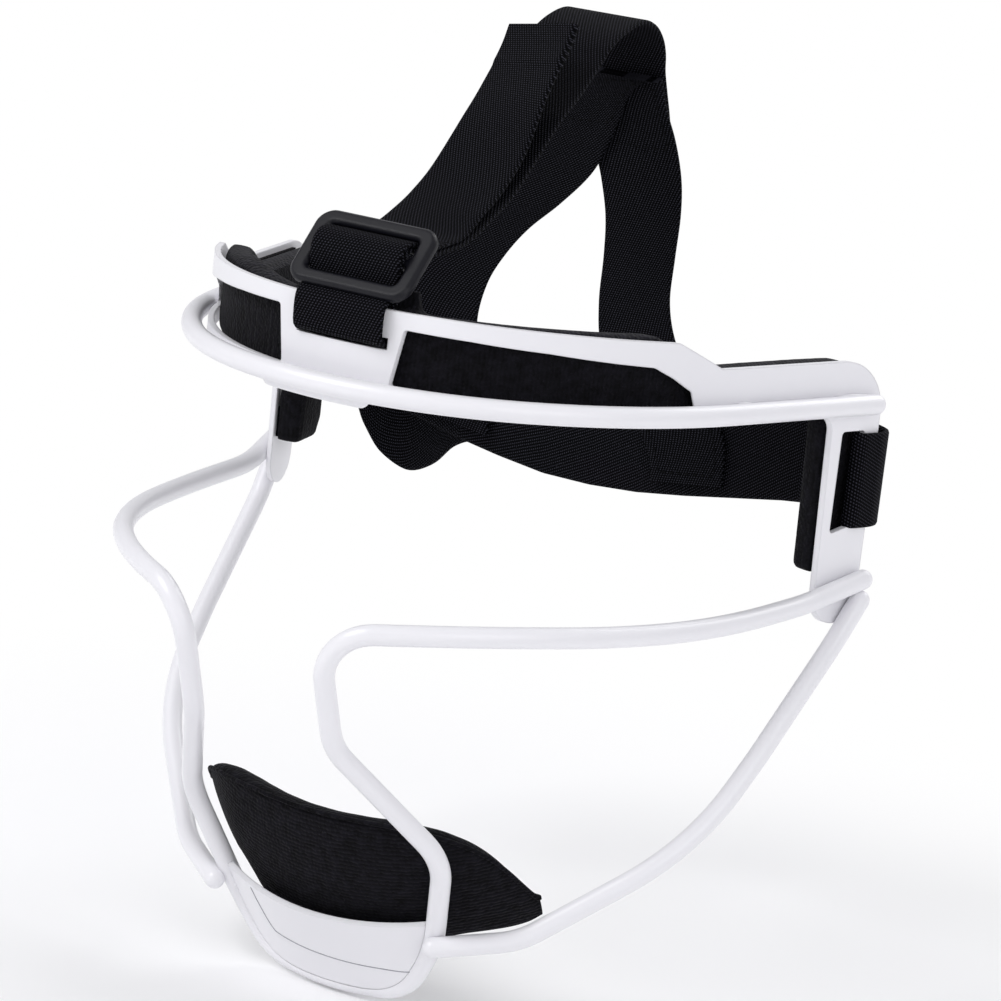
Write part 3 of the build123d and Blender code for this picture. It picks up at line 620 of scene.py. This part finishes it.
# X of the bar of a side slot, and the strap's course round it as (x from the bar, y).
BAR_X = 89.78
WRAP = ((-23.86, 57.2), (-17.9, 56.5), (-11.9, 55.4), (-6.9, 53.6), (-2.2, 51.8),
        (-0.4, 49.5), (-0.3, 47.4), (-0.9, 45.2), (-1.45, 43.0), (-1.76, 41.5),
        (-1.46, 40.3), (-0.54, 39.75), (0.64, 40.1), (1.44, 41.1), (1.89, 42.4),
        (2.54, 44.6), (3.04, 46.8), (2.7, 50.0), (0.9, 52.9), (-2.9, 55.6),
        (-7.4, 57.6), (-13.86, 59.0))
SPAN = ((68.0, 59.1), (60.0, 59.25), (51.0, 59.5), (43.0, 59.7))
REAR = ((43.0, 59.7), (30.0, 60.0), (15.0, 60.2), (0.0, 60.3), (-15.0, 60.2), (-30.0, 60.0),
        (-43.0, 59.7))
NEAR_LOW = ((76.0, 21.8), (68.0, 21.2), (60.0, 20.2), (51.0, 18.6), (43.0, 17.2))
FAR_LOW = ((76.0, 21.8), (68.0, 20.9), (60.0, 19.6), (51.0, 17.6), (43.0, 15.8))
REAR_LOW = ((43.0, 17.2), (30.0, 14.9), (15.0, 12.7), (0.0, 11.6), (-15.0, 11.7),
            (-30.0, 13.6), (-43.0, 15.8))
SLOT_LOW = 21.8
SLACK = ((-33.0, 61.44), (-40.0, 61.6), (-48.0, 63.4), (-57.0, 65.8), (-66.0, 66.4),
         (-74.0, 64.2), (-79.5, 61.0))
SLACK_LOW = ((-33.0, 15.6), (-40.0, 15.4), (-47.0, 12.0), (-54.5, 5.2), (-63.5, 1.6),
             (-72.0, 5.2), (-77.0, 12.4), (-79.5, 19.0))
FRONT_X = 1.4


def ease(value, low, high):
    t = min(max((value - low) / (high - low), 0.0), 1.0)
    return t * t * (3 - 2 * t)


def crown_strap():
    """Loop round the band and the slide, the run over the head and the fold at the crown."""
    course = LOOP[::-1] + RUN[1:] + CROWN[1:]
    grid, s = side_course(course, lambda y: FRONT_X * (1 - ease(y, -2.0, 22.0)),
                          wide=lambda y: WIDTH + 1.1 * ease(-y, 54.0, 62.0))
    end = s[-1]
    seams = [(line, face) for face in (1, -1) for line in box_seam(end - 22.0, end - 3.0, 10.0)]
    obj = strap_mesh("crown_strap", grid, s, seams)
    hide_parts("front_loop", "crown_run", "crown_fold")
    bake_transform(obj)


def crown_tail():
    """Free end of the strap, with a hem and two rows of stitches."""
    def yaw(z):
        return 3.1 * ease(z, 89.5, 96.0) + 2.4 * ease(z, 106.0, 124.0)

    def past_slide(y):
        return ease(y, -45.0, -30.0)
    grid, s = side_course(TAIL, lambda y: FRONT_X - 0.7 * past_slide(y), yaw,
                          lambda z: 2.2 * ease(z, 112.0, 134.0),
                          lambda y: WIDTH + 1.4 * past_slide(y))
    end = s[-1]
    hem = 0.42 * np.array([ease(v, end - 12.5, end - 11.5) for v in s])
    seams = [(((end - 10.0, -11.0), (end - 10.0, 11.0)), face) for face in (1, -1)]
    seams += [(((end - 2.0, -11.0), (end - 2.0, 11.0)), face) for face in (1, -1)]
    obj = strap_mesh("crown_tail_strap", grid, s, seams, extra=hem)
    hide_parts("crown_tail")
    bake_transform(obj)


def leg(name, node_name, edges, side):
    """Strap between its left and right edges, given as (x, z); side is its course as (y, z)."""
    left = smooth_row(edges[0], LEG_ROWS)
    right = smooth_row(edges[1], LEG_ROWS)
    yz = smooth_row(side, 200)
    order = np.argsort(yz[:, 1])
    grid = np.zeros((LEG_ROWS, len(ACROSS), 3))
    for j, a in enumerate(ACROSS):
        w = (a + 1) / 2
        xz = left * (1 - w) + right * w
        grid[:, j, 0] = xz[:, 0]
        grid[:, j, 2] = xz[:, 1]
        grid[:, j, 1] = np.interp(xz[:, 1], yz[order, 1], yz[order, 0])
    s = arc_length(grid[:, len(ACROSS) // 2])
    end = s[-1]
    boxes = box_seam(end - 19.0, end - 3.0, 9.8, cross=False)
    boxes += box_seam(3.0, 21.0, 10.4, cross=False)
    seams = [(line, face) for line in boxes for face in (1, -1)]
    obj = strap_mesh(name, grid, s, seams)
    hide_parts(node_name)
    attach(obj, "harness")


def rear_grid(plan, low_edge, rows, slot_rows=0):
    """Upright strap along a plan course; its lower edge follows low_edge past the first rows."""
    p = smooth_row(plan, rows)
    low = sorted(low_edge)
    grid = np.zeros((rows, len(ACROSS), 3))
    for i in range(rows):
        z = SLOT_LOW
        if i >= slot_rows:
            z = np.interp(p[i, 0], [q[0] for q in low], [q[1] for q in low])
        for j, a in enumerate(ACROSS):
            grid[i, j] = (p[i, 0], p[i, 1], z + (a + 1) / 2 * WIDTH)
    return grid, arc_length(p)


def rear_straps():
    """The rear strap in three pieces, and its slack fold on the wearer's right."""
    tab = tuple((BAR_X + dx, y) for dx, y in WRAP)
    ends = {1: (tab + SPAN + REAR[1:2], NEAR_LOW + REAR_LOW[1:2]), -1: (tab + SPAN, FAR_LOW)}
    for side, name in ((1, "left"), (-1, "right")):
        plan, low = ends[side]
        grid, s = rear_grid(plan, low, SIDE_ROWS, SLOT_ROWS)
        grid[:, :, 0] *= side
        seams = [(((4.0, -10.5), (4.0, 10.5)), face) for face in (1, -1)]
        seams += [(((s[-1] - 3.0, -10.5), (s[-1] - 3.0, 10.5)), face) for face in (1, -1)]
        obj = strap_mesh("rear_side_" + name, grid, s, seams)
        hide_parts("rear_wrap_" + name, "rear_span_" + name)
        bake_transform(obj)
    grid, s = rear_grid(REAR[1:], REAR_LOW, REAR_ROWS)
    obj = strap_mesh("rear_middle", grid, s)
    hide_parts("rear_strap")
    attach(obj, "harness")
    grid, s = rear_grid(SLACK, SLACK_LOW, REAR_ROWS)
    smooth = smooth_row(SLACK_LOW, 400)
    order = np.argsort(smooth[:, 0])
    for i in range(len(grid)):
        low = np.interp(grid[i, 0, 0], smooth[order, 0], smooth[order, 1])
        grid[i, :, 2] = low + (ACROSS + 1) / 2 * WIDTH
    seams = [(((3.0, -10.5), (3.0, 10.5)), face) for face in (1, -1)]
    obj = strap_mesh("rear_slack_fold", grid, s, seams)
    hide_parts("rear_slack")
    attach(obj, "harness")


crown_strap()
crown_tail()
leg("leg_left_strap", "crown_leg_left", LEG_LEFT, LEG_LEFT_SIDE)
leg("leg_right_strap", "crown_leg_right", LEG_RIGHT, LEG_RIGHT_SIDE)
rear_straps()


# Pads: a closed skin, filled out by cloth pressure.

CLOTH_FRAMES = 14


def even_copy(obj, mats):
    """Put the object's evaluated mesh in place of its mesh and modifiers."""
    graph = bpy.context.evaluated_depsgraph_get()
    done = bpy.data.meshes.new_from_object(obj.evaluated_get(graph))
    obj.modifiers.clear()
    obj.data = done
    done.materials.clear()
    for m in mats:
        done.materials.append(m)
    done.polygons.foreach_set("use_smooth", [True] * len(done.polygons))
    return done


def coords(mesh, kind="co"):
    values = np.zeros(len(mesh.vertices) * 3)
    mesh.vertices.foreach_get(kind, values)
    return values.reshape(-1, 3)


def puff(obj, shrink, swell):
    """Cloth pressure from slightly inside the surface; no point moves further than swell."""
    rest = coords(obj.data) - coords(obj.data, "normal") * shrink
    obj.data.vertices.foreach_set("co", rest.ravel())
    cloth = obj.modifiers.new("cloth", "CLOTH")
    cloth.settings.quality = 4
    cloth.settings.mass = 0.2
    cloth.settings.use_pressure = True
    cloth.settings.uniform_pressure_force = 4.0
    cloth.settings.tension_stiffness = 12
    cloth.settings.compression_stiffness = 12
    cloth.settings.effector_weights.gravity = 0.0
    cloth.point_cache.frame_start = 1
    cloth.point_cache.frame_end = CLOTH_FRAMES
    for f in range(1, CLOTH_FRAMES + 1):
        scene.frame_set(f)
    puffed = even_copy(obj, [KNIT])
    move = coords(puffed) - rest
    dist = np.linalg.norm(move, axis=1, keepdims=True) + 1e-12
    co = rest + move / dist * np.minimum(dist, swell + shrink)
    puffed.vertices.foreach_set("co", co.ravel())
    scene.frame_set(1)


def smooth_copy(obj, rounds, mats):
    """Smoothed mesh in place of the object's own."""
    smooth = obj.modifiers.new("even", "SMOOTH")
    smooth.factor = 0.5
    smooth.iterations = rounds
    bpy.context.view_layer.update()
    return even_copy(obj, mats)


def finish_pad(obj, node_name, body):
    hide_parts(node_name)
    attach(obj, body)


def lift_far_edge(mesh):
    """The forehead pad's inner top edge stands off the band on the far side."""
    co = coords(mesh) / MM
    turn = np.degrees(np.arctan2(co[:, 0], 0.1 - co[:, 1]))
    depth = 72.5 - np.hypot(co[:, 0], co[:, 1] + 0.1)
    share = np.clip((co[:, 2] - 66.0) / 8.0, 0, 1) * np.clip(depth / 9.0, 0, 1) * (co[:, 1] < -20)
    co[:, 2] += 2.4 * np.exp(-((turn + 40.0) / 14.0) ** 2) * share
    mesh.vertices.foreach_set("co", (co * MM).ravel())


def soft_copy(node_name, name, voxel, shrink, swell, body, forehead=False):
    """Padded piece: remeshed copy of the solid, swollen by cloth pressure, then smoothed."""
    obj = bpy.data.objects.new(name, NODES[node_name].data.copy())
    bpy.context.collection.objects.link(obj)
    weld = obj.modifiers.new("weld", "WELD")
    weld.merge_threshold = 0.00001
    remesh = obj.modifiers.new("remesh", "REMESH")
    remesh.mode = "VOXEL"
    remesh.voxel_size = voxel
    bpy.context.view_layer.update()
    even_copy(obj, [KNIT])
    puff(obj, shrink, swell)
    mesh = smooth_copy(obj, 9 if forehead else 4, [KNIT, FOAM])
    if forehead:
        up = np.zeros(len(mesh.polygons) * 3)
        mesh.polygons.foreach_get("normal", up)
        flat = np.abs(up.reshape(-1, 3)[:, 2]) > 0.7
        mesh.polygons.foreach_set("material_index", flat.astype(int))
        lift_far_edge(mesh)
    finish_pad(obj, node_name, body)


soft_copy("forehead_pad", "forehead_cushion_pad", voxel=0.0013, shrink=0.0003, swell=0.0005,
          body="forehead_cushion", forehead=True)
for hand in ("left", "right"):
    soft_copy("temple_pad_" + hand, "temple_cushion_pad_" + hand, voxel=0.0010, shrink=0.0003,
              swell=0.0004, body="temple_cushion_" + hand)


# Pieces on the chin cylinder: the pad with its seam, and the grey line on the plate, which is
# painted groove shadow.

CHIN_TILT = math.radians(30.0)
CHIN_UP = np.array((0, -math.sin(CHIN_TILT), math.cos(CHIN_TILT)))
CHIN_OUT = np.array((0, -math.cos(CHIN_TILT), -math.sin(CHIN_TILT)))
CHIN_R = 64.0
CHIN_AXIS = np.array((0.0, -56.4, -87.0)) - CHIN_OUT * CHIN_R
# Rows of the chin pad: angle in degrees, then in millimetres the bottom, the top, the radius
# at the bottom and at the top, the swell, the thickness and the lip.
CHIN_ROWS = (
    (-58.0, 0.6, 2.6, 60.6, 61.2, 0.2, 1.4, 0.2),
    (-56.0, -1.6, 5.4, 60.0, 60.8, 0.4, 3.4, 0.7),
    (-52.0, -3.0, 11.0, 59.4, 60.4, 0.6, 6.0, 1.4),
    (-46.0, -3.6, 17.4, 59.2, 59.6, 0.8, 8.4, 1.9),
    (-38.0, -3.4, 21.8, 59.2, 58.0, 1.2, 10.2, 1.9),
    (-30.0, -4.2, 23.8, 59.2, 56.2, 1.8, 11.2, 1.3),
    (-22.0, -11.0, 25.2, 59.3, 54.6, 2.4, 11.8, 0.7),
    (-12.0, -18.0, 26.0, 59.3, 53.4, 2.9, 12.2, 0.4),
    (0.0, -20.5, 26.4, 59.3, 53.0, 3.0, 12.4, 0.3),
    (12.0, -19.0, 26.4, 59.3, 53.4, 2.9, 12.2, 0.4),
    (22.0, -14.0, 26.0, 59.4, 54.6, 2.4, 11.8, 0.5),
    (30.0, -10.6, 24.8, 59.6, 56.4, 1.9, 11.2, 0.9),
    (37.0, -9.8, 22.6, 59.9, 58.2, 1.4, 10.2, 1.4),
    (44.0, -10.4, 18.0, 60.2, 60.0, 1.0, 8.8, 1.6),
    (49.0, -10.8, 11.4, 60.6, 61.0, 0.8, 7.4, 1.5),
    (53.0, -10.6, 2.6, 61.0, 61.8, 0.7, 5.6, 1.0),
    (55.0, -10.0, -1.8, 61.4, 62.2, 0.5, 3.6, 0.5),
    (56.4, -8.6, -4.4, 61.8, 62.4, 0.2, 1.6, 0.2),
)


def chin_spot(turn_deg, s, radius):
    t = math.radians(turn_deg)
    out = CHIN_OUT * math.cos(t) + np.array((math.sin(t), 0, 0))
    return CHIN_AXIS + out * radius + CHIN_UP * s


def tube(name, points, radius, mat, sides=10, knob=1.0):
    """Round cord through the points, its ends closed, thicker by knob near each end."""
    p = np.asarray(points, float)
    shape = Shape()
    tangent = np.gradient(p, axis=0)
    tangent /= np.linalg.norm(tangent, axis=1, keepdims=True) + 1e-12
    ref = np.array((0.0, 0.0, 1.0))
    s = arc_length(p)
    near_end = np.minimum(s, s[-1] - s)
    size = radius * (1 + (knob - 1) * np.exp(-((near_end - 1.0) / 1.1) ** 2))
    size = size * np.sqrt(np.clip(near_end / radius, 0.05, 1))
    for i in range(len(p)):
        side = np.cross(tangent[i], ref)
        side /= np.linalg.norm(side) + 1e-12
        top = np.cross(side, tangent[i])
        for k in range(sides):
            t = 2 * math.pi * k / sides
            shape.verts.append(p[i] + size[i] * (side * math.cos(t) + top * math.sin(t)))
    for i in range(len(p) - 1):
        for k in range(sides):
            j = (k + 1) % sides
            ring = [i * sides + k, i * sides + j, (i + 1) * sides + j, (i + 1) * sides + k]
            shape.face(ring, [(0, 0)] * 4)
    shape.face(list(range(sides))[::-1], [(0, 0)] * sides)
    shape.face([(len(p) - 1) * sides + k for k in range(sides)], [(0, 0)] * sides)
    return shape.done(name, [mat])


def chin_row(turn):
    """Sizes of the pad's section at one angle, evened over four degrees."""
    table = np.array(CHIN_ROWS)
    near = turn + np.linspace(-2, 2, 5)
    return [np.interp(near, table[:, 0], table[:, k]).mean() for k in range(1, 8)]


def bezier(points, count):
    """Curve drawn by its control points."""
    t = np.linspace(0, 1, count)[:, None]
    q = [np.asarray(p, float) for p in points]
    while len(q) > 1:
        q = [q[i] * (1 - t) + q[i + 1] * t for i in range(len(q) - 1)]
    return q[0]


def chin_pad():
    """Leaf-shaped cushion on the chin cylinder with a seam along its top edge."""
    share = np.linspace(-1, 1, 91)
    turns = -0.8 + np.sin(share * math.pi / 2) * 10 + share * 47.2
    shape = Shape()
    loops = []
    seam = []
    for turn in turns:
        low, high, low_r, top_r, swell, thick, lip = chin_row(turn)
        mid = (low + high) / 2
        mid_r = (low_r + top_r) / 2
        outer = bezier(((low_r, low), (mid_r + 2 * swell, mid), (top_r, high)), 22)
        inner = bezier(((top_r, high), (top_r - 0.5 * thick, high + 2.2 * lip),
                        (mid_r - 1.35 * thick, mid + 0.25 * (high - low)),
                        (mid_r - 1.2 * thick, low + 0.12 * (high - low)), (low_r, low)), 26)
        ring = np.vstack([outer[:-1], inner[:-1]])
        loops.append(range(len(shape.verts), len(shape.verts) + len(ring)))
        shape.verts += [chin_spot(turn, q[1], q[0]) for q in ring]
        seam.append(chin_spot(turn, high, top_r + 0.15))
    count = len(loops[0])
    for a, b in zip(loops, loops[1:]):
        for k in range(count):
            m = (k + 1) % count
            shape.face([a[k], b[k], b[m], a[m]], [(0, 0)] * 4)
    shape.face(list(loops[0]), [(0, 0)] * count)
    shape.face(list(loops[-1])[::-1], [(0, 0)] * count)
    obj = shape.done("chin_cushion_pad", [CHIN_KNIT])
    obj.modifiers.clear()
    puff(obj, shrink=0.0002, swell=0.0004)
    smooth_copy(obj, rounds=2, mats=[CHIN_KNIT])
    finish_pad(obj, "chin_pad", "chin_cushion")
    piping = tube("chin_seam", smooth_row(seam, 170), 0.6, CHIN_KNIT, knob=1.5)
    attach(piping, "chin_cushion")


def chin_groove_shadow():
    """Fine grey ridge inside the plate's border, coloured as painted shadow of a groove."""
    line = ((-21.0, -0.6), (-19.0, -5.5), (-15.6, -11.8), (-12.0, -13.2), (3.5, -14.2),
            (16.3, -15.2), (24.0, -16.2), (28.2, -15.4), (30.4, -10.0), (31.2, -1.0))
    fine = smooth_row(line, 120)
    reach = CHIN_R + 0.74
    edge = [chin_spot(math.degrees(math.asin(x / reach)), s, reach) for x, s in fine]
    shadow_ridge = tube("chin_plate_groove_shadow", edge, 0.2, GROOVE_SHADOW, sides=8)
    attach(shadow_ridge, "frame")


chin_pad()
chin_groove_shadow()


# Weld beads between the wires and the sheet.

def weld_beads():
    """Small beads at the brow wire, the chin plate and the rod under the band."""
    shape = Shape()
    up = np.array((0.0, 0.0, 1.0))
    along = np.array((0.2588, 0.9659, 0.0))
    out = np.array((0.9659, -0.2588, 0.0))
    temple = np.array((76.62, -7.62, 0.0))
    wire_z = 55.3
    spots = []
    for run, half in ((4.0, 3.0), (44.0, 7.0)):
        for z in (wire_z - 1.75, wire_z + 1.75):
            spots.append((temple + along * run + out * 1.05 + up * z, along, half, 0.95, 0.95))
    for x, s in ((31.9, -2.0), (29.6, -9.5)):
        place = chin_spot(math.degrees(math.asin(x / CHIN_R)), s, CHIN_R + 0.8)
        spots.append((place, CHIN_UP, 4.0, 1.1, 1.1))
    for place, axis, half, wide, high in spots:
        axis = axis / np.linalg.norm(axis)
        for side in (1, -1):
            flip = np.array((side, 1, 1))
            ends = (place - axis * half) * flip, (place + axis * half) * flip
            add_bar(shape, ends[0], ends[1], up, wide, high, 0)
    for turn in (-12.6, 7.6):
        t = math.radians(turn)
        place = np.array((math.sin(t) * 73.4, -0.1 - math.cos(t) * 73.9, 53.9))
        axis = np.array((math.cos(t), math.sin(t), 0.0))
        add_bar(shape, place - axis * 4.0, place + axis * 4.0, up, 1.4, 1.0, 0)
    obj = shape.done("weld_beads", [COAT])
    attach(obj, "frame")


weld_beads()
